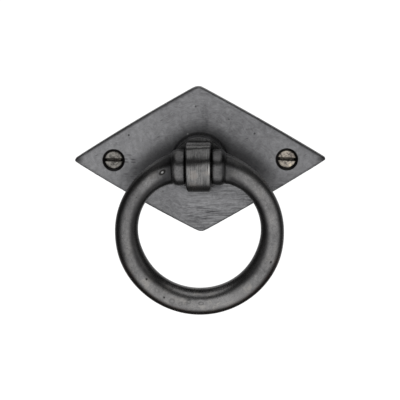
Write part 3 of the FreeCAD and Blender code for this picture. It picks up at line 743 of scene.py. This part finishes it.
# Painted shade: near black where the pin shows in the slits beside the collars.
slit_shade = fade(tree, unsigned(tree, x), 4.9, 4.4, 0.0, 0.8)
color = mix(tree, slit_shade, color, (0.012, 0.011, 0.01, 1))
rough = plus(tree, times(tree, tone, -0.15), 0.42)
finish_metal(tree, shader, color, rough, turning, 0.006)
nodes["pivot_pin"].material_slots[0].material = pin_metal


# Ring
# The ring is one bronze casting: a round bar, thick at its heel and thin at its sides, whose
# arms flare into two collars. Each collar has a blind socket for an end of the pin.
RING_SIDES = 64
RING_CENTRE_Z = -20.0 * MM
HOOP_RADIUS, BEND_RADIUS = 22.9 * MM, 20.8 * MM
BEND_START = math.radians(0.5)
COLLAR_NEAR, COLLAR_FAR = 4.02 * MM, 8.55 * MM
SOCKET_RADIUS, SOCKET_END = 2.06 * MM, 7.45 * MM
# How thick the bar is, by the way along it from the heel, both in mm.
GIRTHS = [
    (0.0, 8.6), (16.0, 8.24), (27.2, 8.0), (36.0, 7.3), (51.8, 7.2), (59.5, 8.6), (64.6, 10.9),
]


def girth(way):
    """The bar's thickness at a way along it, smooth from one place of GIRTHS to the next."""
    ways = [w * MM for w, _ in GIRTHS]
    sizes = [d * MM for _, d in GIRTHS]
    slopes = [0.0] + [
        (sizes[i + 1] - sizes[i - 1]) / (ways[i + 1] - ways[i - 1]) for i in range(1, len(ways) - 1)
    ] + [(sizes[-1] - sizes[-2]) / (ways[-1] - ways[-2])]
    i = max(k for k in range(len(ways) - 1) if way >= ways[k] or k == 0)
    step = ways[i + 1] - ways[i]
    t = min((way - ways[i]) / step, 1.0)
    return (
        sizes[i] * (1 + 2 * t) * (1 - t) ** 2 + sizes[i + 1] * t * t * (3 - 2 * t)
        + step * (slopes[i] * t * (1 - t) ** 2 - slopes[i + 1] * t * t * (1 - t))
    )


def bar_places():
    """Each section of the bar's right half, from the heel to its collar: where its middle is,
    how far it has turned about Y, and its thickness along the section."""
    places = []
    hoop_steps, bend_steps = 60, 42
    for i in range(1, hoop_steps + 1):
        turn = (math.pi / 2 + BEND_START) * i / hoop_steps
        x, z = HOOP_RADIUS * math.sin(turn), RING_CENTRE_Z - HOOP_RADIUS * math.cos(turn)
        places.append((Vector((x, PIVOT_Y, z)), turn, girth(HOOP_RADIUS * turn)))
    offset = HOOP_RADIUS - BEND_RADIUS
    across, up = offset * math.cos(BEND_START), RING_CENTRE_Z + offset * math.sin(BEND_START)
    crease_x = COLLAR_FAR - 0.2 * MM
    crease = math.acos((crease_x - across) / BEND_RADIUS)
    for i in range(1, bend_steps + 1):
        along = BEND_START + (crease - BEND_START) * i / bend_steps
        x, z = across + BEND_RADIUS * math.cos(along), up + BEND_RADIUS * math.sin(along)
        way = HOOP_RADIUS * (math.pi / 2 + BEND_START) + BEND_RADIUS * (along - BEND_START)
        # The last sections fan round until they stand square to the pin.
        square = math.pi / 2 - crease
        fan = square * max(0.0, (i / bend_steps - 0.55) / 0.45) ** 2
        places.append((Vector((x, PIVOT_Y, z)), math.pi / 2 + along + fan, girth(way)))
    return places


def lay_section(mid_before, turn_before, size_before, mid, turn, size):
    """Draw the selected rim on to its next place."""
    bpy.ops.mesh.extrude_edges_move(TRANSFORM_OT_translate={"value": mid - mid_before})
    bpy.ops.transform.rotate(value=turn - turn_before, orient_axis="Y", center_override=mid)
    k = size / size_before
    bpy.ops.transform.resize(value=(k, k, k), center_override=mid)


bpy.ops.object.select_all(action="DESELECT")
heel = Vector((0, PIVOT_Y, RING_CENTRE_Z - HOOP_RADIUS))
bpy.ops.mesh.primitive_circle_add(
    vertices=RING_SIDES, radius=girth(0.0) / 2, fill_type="NOTHING",
    location=heel, rotation=(0, math.pi / 2, 0),
)
ring = settle(bpy.context.object)
ring.name = "cast_ring"
bpy.ops.object.mode_set(mode="EDIT")
bpy.ops.mesh.select_mode(type="EDGE")
bpy.ops.mesh.select_all(action="SELECT")
last = (heel, 0.0, girth(0.0))
for place in bar_places():
    lay_section(*last, *place)
    last = place

# The collar: a bead with a rounded crown, then its flat near face.
collar = [
    (8.35, 5.1), (8.1, 5.25), (7.8, 5.45), (7.5, 5.63), (7.15, 5.79), (6.8, 5.89), (6.4, 5.94),
    (6.0, 5.95), (5.6, 5.93), (5.2, 5.88), (4.8, 5.8), (4.45, 5.7), (4.2, 5.56), (4.07, 5.38),
    (4.02, 5.15),
]
for x, radius in collar:
    place = (Vector((x * MM, PIVOT_Y, 0)), math.pi, 2 * radius * MM)
    lay_section(*last, *place)
    last = place
for x, radius in (
    (COLLAR_NEAR, 4.8 * MM), (COLLAR_NEAR, 2.3 * MM), (COLLAR_NEAR, SOCKET_RADIUS),
    (COLLAR_NEAR + 20 * HAIR, SOCKET_RADIUS), (SOCKET_END, SOCKET_RADIUS),
):
    place = (Vector((x, PIVOT_Y, 0)), math.pi, 2 * radius)
    lay_section(*last, *place)
    last = place
bpy.ops.mesh.fill()
# The collar is flatter below, where it runs level with the arm.
select_points(ring, lambda point: (
    point.x < 8.3 * MM and -7 * MM < point.z < -0.5 * MM
    and math.hypot(point.y - PIVOT_Y, point.z) > 4.5 * MM
))
bpy.ops.transform.resize(value=(1, 1, 0.93), center_override=(0, PIVOT_Y, 0))
apply_modifier(ring, "MIRROR", use_axis=(True, False, False), merge_threshold=HAIR)
apply_modifier(ring, "SUBSURF", levels=1, render_levels=1)


def dint(piece, middle_mm, radius_mm, depth_mm):
    """Press a soft hollow into a round bar, or raise a bump where depth is below nothing."""
    middle = Vector(middle_mm) * MM
    nearest = min(piece.data.vertices, key=lambda point: (point.co - middle).length)
    inwards = -nearest.normal * depth_mm * MM
    spot = nearest.co.copy()
    select_points(piece, lambda point: (point - spot).length < 0.1 * HAIR)
    bpy.ops.transform.translate(value=inwards, **soft(radius_mm))
    bpy.ops.object.mode_set(mode="OBJECT")


# Where the casting is marked: pinholes, a few low bumps by the heel and a dent on the left arm.
PINHOLES = [(-16.6, -20.7, -34.6), (-11.2, -20.8, -40.6), (22.5, -20.4, -29.4)]
for spot in PINHOLES:
    dint(ring, spot, 0.75, 0.22)
for spot, radius, depth in (
    ((-8.7, -20.85, -41.7), 1.3, -0.07), ((-6.2, -20.9, -42.7), 1.2, -0.07),
    ((-3.4, -20.9, -42.0), 1.1, -0.08), ((-4.5, -20.9, -42.9), 1.0, 0.05),
    ((0.4, -20.9, -42.5), 1.5, 0.1), ((0.4, -20.9, -42.5), 0.7, -0.09),
    ((-13.4, -20.8, -38.2), 1.2, 0.06), ((6.5, -20.9, -42.0), 1.6, 0.04),
    ((-11.6, -21.0, -0.9), 1.2, 0.16), ((-10.9, -21.0, -0.2), 0.9, 0.12),
    ((-11.3, -21.0, -0.5), 0.5, -0.08),
):
    dint(ring, spot, radius, depth)

# Its patina is smoother than the plate's, with fine grain, and rubbed pale and warm low down
# by the heel. Its left side is painted a little darker as painted shade.
ring_metal, tree, shader, place = metal("ring_patina")
x, y, z = add(tree, "SeparateXYZ", {0: place}).outputs
broad = use_group(tree, clouds, Place=place, Size=6.0)
fine = use_group(tree, clouds, Place=place, Size=1.1)
grain = use_group(tree, clouds, Place=place, Size=0.4)
tone = blend_tones(tree, (broad, 0.4), (fine, 0.5), (grain, 0.42))
color = mix(tree, tone, (0.125, 0.123, 0.124, 1), (0.262, 0.258, 0.258, 1))
patches = use_group(tree, clouds, Place=place, Size=3.1)
rubbed = times(tree, fade(tree, patches, 0.55, 0.95, 0.0, 0.5), fade(tree, z, -22, -40, 0.3, 1.0))
color = mix(tree, rubbed, color, (0.36, 0.34, 0.315, 1))
color = mix(tree, fade(tree, z, -30, -42, 0.0, 0.22), color, (0.4, 0.392, 0.388, 1))
color = mix(tree, fade(tree, x, -17, -24, 0.0, 0.14), color, (0.03, 0.03, 0.03, 1))

# Outwards is how far a place is outside the bar's middle line, in mm, and it follows the
# tighter bend of the arms. The hoop is dark along its inside, partly patina and partly painted shade,
# and low outside it is brown, with painted shade there and on the left side's outer face.
by_pin = unsigned(tree, x)
in_bend = times(tree, math_node(tree, "GREATER_THAN", z, -20.0), 2.1)
flat = add(tree, "CombineXYZ", {0: less(tree, by_pin, in_bend), 1: 0.0, 2: z}).outputs[0]
outwards = less(tree, reach(tree, flat, (0.0, 0.0, -20.0)), less(tree, 22.9, in_bend))
brown = times(tree, fade(tree, outwards, 1.6, 3.4), fade(tree, z, -24, -34))
brown = times(tree, brown, fade(tree, fine, 0.3, 0.9, 0.15, 0.8))
color = mix(tree, brown, color, (0.2, 0.1, 0.065, 1))
inner = times(tree, fade(tree, outwards, -0.2, -1.9, 0.0, 0.86), fade(tree, outwards, -2, -3, 1.0, 0.4))
inner = times(tree, inner, fade(tree, z, -41, -34, 0.1, 1.0))
outer = times(tree, fade(tree, outwards, 0.9, 3.1, 0.0, 0.6), fade(tree, z, -26, -36))
left_outer = times(tree, fade(tree, outwards, 0.3, 2.0, 0.0, 0.42), fade(tree, z, -34, -26))
left_outer = times(tree, left_outer, fade(tree, x, -14, -19))
side_shade = most(tree, inner, outer, left_outer)
off_collars = most(tree, fade(tree, by_pin, 8.4, 10.5), fade(tree, z, -9, -5, 1.0, 0.0))
side_shade = times(tree, side_shade, off_collars)
color = mix(tree, side_shade, color, (0.025, 0.024, 0.025, 1))

# Round the collars it is painted dark as painted shade in the arms' roots, above and below and off
# the crowns, and painted black as painted shade in the creases and in the slits beside the knuckle.
# The left crown stands further out.
near_top = fade(tree, z, -9, -5)
on_left = fade(tree, x, -1, 1, 1.0, 0.0)
at_collars = times(tree, fade(tree, by_pin, 15.0, 9.0), fade(tree, x, -1, 1, 0.86, 0.66))
at_collars = times(tree, at_collars, near_top)
at_collars = times(tree, at_collars, fade(tree, by_pin, 7.4, 8.6, 0.1, 1.0))
above_below = most(tree, fade(tree, z, -0.7, -2.7, 0.0, 0.62), fade(tree, z, 2.0, 3.6, 0.0, 0.5))
off_crown = less(tree, by_pin, plus(tree, 5.9, times(tree, on_left, 0.25)))
off_crown = less(tree, unsigned(tree, off_crown), times(tree, on_left, 0.5))
off_crown = fade(tree, off_crown, 0.4, 1.3, 0.33, 0.62)
far_right = times(tree, fade(tree, by_pin, 6.6, 7.5, 0.0, 0.8), less(tree, 1.0, on_left))
off_crown = most(tree, off_crown, far_right)
collar_shade = times(tree, most(tree, above_below, off_crown), near_top)
collar_shade = times(tree, collar_shade, fade(tree, by_pin, 9.5, 8.0))
color = mix(tree, most(tree, at_collars, collar_shade), color, (0.03, 0.03, 0.032, 1))
crease = less(tree, by_pin, plus(tree, 8.3, times(tree, on_left, 0.5)))
crease = times(tree, fade(tree, unsigned(tree, crease), 1.0, 0.1, 0.0, 0.3), near_top)
gap = times(tree, fade(tree, by_pin, 4.4, 4.08, 0.0, 0.7), near_top)
color = mix(tree, most(tree, crease, gap), color, (0.012, 0.012, 0.012, 1))

# Small pits all over, the pinholes, the dent with a painted highlight on its floor and painted
# shade on its lip, and the dark rings of the low bumps by the heel.
pit_place = stretch(tree, place, (1.9, 1.9, 1.9), 20.0)
small_pits = use_group(tree, pits, Place=pit_place, Radius=0.12, Share=0.16)
dark_spots = small_pits
for spot in PINHOLES:
    dark_spots = most(tree, dark_spots, fade(tree, reach(tree, place, spot), 0.5, 0.2))
dent = reach(tree, place, (-11.15, -21.0, -0.55), (1.05, 2.0, 0.6), -38.0)
color = mix(tree, fade(tree, dent, 0.6, 0.25, 0.0, 0.6), color, (0.5, 0.5, 0.49, 1))
dent_lip_shade = fade(tree, unsigned(tree, less(tree, dent, 0.85)), 0.55, 0.15)
heel_oval = reach(tree, place, (0.4, -20.9, -42.5), (0.9, 2.0, 0.6))
heel_oval = fade(tree, unsigned(tree, less(tree, heel_oval, 0.8)), 0.4, 0.1, 0.0, 0.45)
dark_spots = most(tree, dark_spots, dent_lip_shade, heel_oval)
for spot, size, strength in (
    ((-8.7, -20.9, -41.7), 0.7, 0.3), ((-6.2, -20.9, -42.7), 0.6, 0.25),
    ((-3.4, -20.9, -42.0), 0.55, 0.3), ((-4.4, -20.9, -42.6), 0.4, 0.25),
    ((-13.4, -20.8, -38.3), 0.6, 0.2),
):
    off_ring = unsigned(tree, less(tree, reach(tree, place, spot), size))
    scar = fade(tree, off_ring, 0.35, 0.1, 0.0, strength)
    dark_spots = most(tree, dark_spots, scar)
color = mix(tree, times(tree, dark_spots, 0.85), color, (0.015, 0.014, 0.013, 1))
rough = plus(tree, times(tree, tone, -0.1), 0.34)
height = blend_tones(tree, (grain, 0.35), (fine, 0.6), (broad, 1.6))
height = less(tree, height, times(tree, small_pits, 2.0))
finish_metal(tree, shader, color, rough, height, 0.012)
ring.data.materials.append(ring_metal)
finish_piece(ring, "ring", "dark_bronze", "ring")


# Screws
# Two slotted brass wood screws with countersunk heads, turned on a lathe and aged. They go
# through the plate into the door.
HEAD_TOP, FIRST_RADIUS = -2.43 * MM, 0.3 * MM
# The turned outline, from the middle of the head to the tip: how far in, and how far out.
SCREW_PROFILE = [
    (-2.43, 2.55), (-2.40, 2.72), (-2.33, 2.83), (-2.24, 2.88), (-2.14, 2.87),
    (-0.90, 1.62), (-0.72, 1.5), (0.40, 1.5), (0.55, 1.02), (11.2, 0.98), (12.6, 0.6), (13.4, 0.12),
]
SLOT = (8 * MM, 1.6 * MM, 1.0 * MM)
THREAD_START = (1.02 * MM, 1.1 * MM, 0)
PITCH = 1.15 * MM
bpy.ops.mesh.primitive_circle_add(
    vertices=96, radius=FIRST_RADIUS, fill_type="NGON", location=(0, HEAD_TOP, 0),
    rotation=(math.pi / 2, 0, 0),
)
screw = settle(bpy.context.object)
screw.name = "wood_screw_left"
bpy.ops.object.mode_set(mode="EDIT")
bpy.ops.mesh.select_mode(type="EDGE")
bpy.ops.mesh.select_all(action="SELECT")
y_before, radius_before = HEAD_TOP, FIRST_RADIUS
for y, radius in SCREW_PROFILE:
    bpy.ops.mesh.extrude_edges_move(TRANSFORM_OT_translate={"value": (0, y * MM - y_before, 0)})
    k = radius * MM / radius_before
    bpy.ops.transform.resize(value=(k, 1, k), center_override=(0, y * MM, 0))
    y_before, radius_before = y * MM, radius * MM
bpy.ops.mesh.merge(type="COLLAPSE")
bpy.ops.mesh.select_all(action="SELECT")
bpy.ops.mesh.normals_make_consistent(inside=False)

# The slot.
bpy.ops.object.mode_set(mode="OBJECT")
bpy.ops.object.select_all(action="DESELECT")
bpy.ops.mesh.primitive_cube_add(size=1.0, location=(0, HEAD_TOP, 0), scale=SLOT)
carve(screw, settle(bpy.context.object))

# The thread: one ridge wound round the core, that runs out at the tip.
bpy.ops.object.select_all(action="DESELECT")
bpy.ops.mesh.primitive_circle_add(
    vertices=3, radius=0.3 * MM, fill_type="NOTHING", location=THREAD_START,
)
thread = settle(bpy.context.object)
bpy.ops.object.mode_set(mode="EDIT")
bpy.ops.mesh.select_all(action="SELECT")
bpy.ops.transform.rotate(value=math.pi / 2, orient_axis="Z", center_override=THREAD_START)
apply_modifier(
    thread, "SCREW", axis="Y", angle=math.tau, screw_offset=PITCH, iterations=10, steps=36,
    render_steps=36, use_merge_vertices=False,
)
bpy.ops.object.mode_set(mode="EDIT")
bpy.ops.mesh.select_mode(type="EDGE")
bpy.ops.mesh.select_all(action="DESELECT")
bpy.ops.mesh.select_non_manifold()
bpy.ops.mesh.edge_face_add()
for i in range(8):
    runs_out = (10.6 + 0.25 * i) * MM
    select_points(thread, lambda point: point.y > runs_out)
    bpy.ops.transform.resize(value=(0.93, 1, 0.93), center_override=(0, 0, 0))
take(screw)
thread.select_set(True)
bpy.ops.object.join()
screw.data.materials.clear()

# Aged brass: fine turning marks round each head, grey on the left screw and warm on the right
# one, with painted shade round the rim and in the slot, and one painted glint low on the right head.
screw_metal, tree, shader, place = metal("aged_brass")
x, y, z = add(tree, "SeparateXYZ", {0: place}).outputs
beside = less(tree, x, times(tree, math_node(tree, "SIGN", x), SCREW_X))
by_slot = unsigned(tree, plus(tree, z, times(tree, beside, 0.04)))
from_axis = reach(tree, add(tree, "CombineXYZ", {0: beside, 1: 0.0, 2: z}).outputs[0], (0.0, 0.0, 0.0))
turned = add(tree, "TexNoise", {
    "W": times(tree, from_axis, 3.3), "Scale": 1.0, "Detail": 2.0,
}, noise_dimensions="1D")
turned = fade(tree, turned.outputs[0], 0.3, 0.7)
soot = use_group(tree, clouds, Place=place, Size=1.4)
grain = use_group(tree, clouds, Place=place, Size=0.35)
tone = blend_tones(tree, (turned, 0.55), (soot, 1.0), (grain, 0.6))
grey = mix(tree, tone, (0.085, 0.081, 0.075, 1), (0.32, 0.305, 0.28, 1))
warm = mix(tree, tone, (0.1, 0.086, 0.082, 1), (0.5, 0.45, 0.385, 1))
color = mix(tree, fade(tree, x, -1, 1), grey, warm)
glint = fade(tree, reach(tree, place, (28.7, -2.43, -1.9)), 0.65, 0.2, 0.0, 0.62)
color = mix(tree, glint, color, (0.85, 0.74, 0.56, 1))
head_rim_shade = fade(tree, from_axis, 2.5, 2.85, 0.0, 0.75)
slot_shade = times(tree, fade(tree, y, -2.36, -2.25, 0.0, 0.93), fade(tree, y, -0.5, 0.2, 1.0, 0.0))
slot_edge = times(tree, fade(tree, by_slot, 0.72, 0.5, 0.0, 0.75), fade(tree, y, -0.5, 0.2, 1.0, 0.0))
screw_shade = most(tree, head_rim_shade, slot_shade, slot_edge)
color = mix(tree, screw_shade, color, (0.012, 0.011, 0.01, 1))
slot_floor = times(tree, fade(tree, grain, 0.45, 0.8, 0.0, 0.16), slot_shade)
color = mix(tree, slot_floor, color, (0.3, 0.25, 0.2, 1))
rough = plus(tree, times(tree, tone, -0.14), 0.44)
finish_metal(tree, shader, color, rough, blend_tones(tree, (turned, 1.0), (grain, 0.6)), 0.012)
screw.data.materials.append(screw_metal)

# The right one is a copy with its own mesh, driven in at a slightly different turn.
right_screw = screw.copy()
right_screw.data = screw.data.copy()
right_screw.name = "wood_screw_right"
bpy.context.scene.collection.objects.link(right_screw)
for piece, x, turn, node in (
    (screw, -SCREW_X * MM, -0.1, "screw_left"), (right_screw, SCREW_X * MM, -3.9, "screw_right"),
):
    take(piece)
    bpy.ops.object.mode_set(mode="EDIT")
    bpy.ops.mesh.select_all(action="SELECT")
    bpy.ops.transform.rotate(value=math.radians(turn), orient_axis="Y", center_override=(0, 0, 0))
    bpy.ops.transform.translate(value=(x, 0, 0))
    finish_piece(piece, "plate", "screw_brass", node)
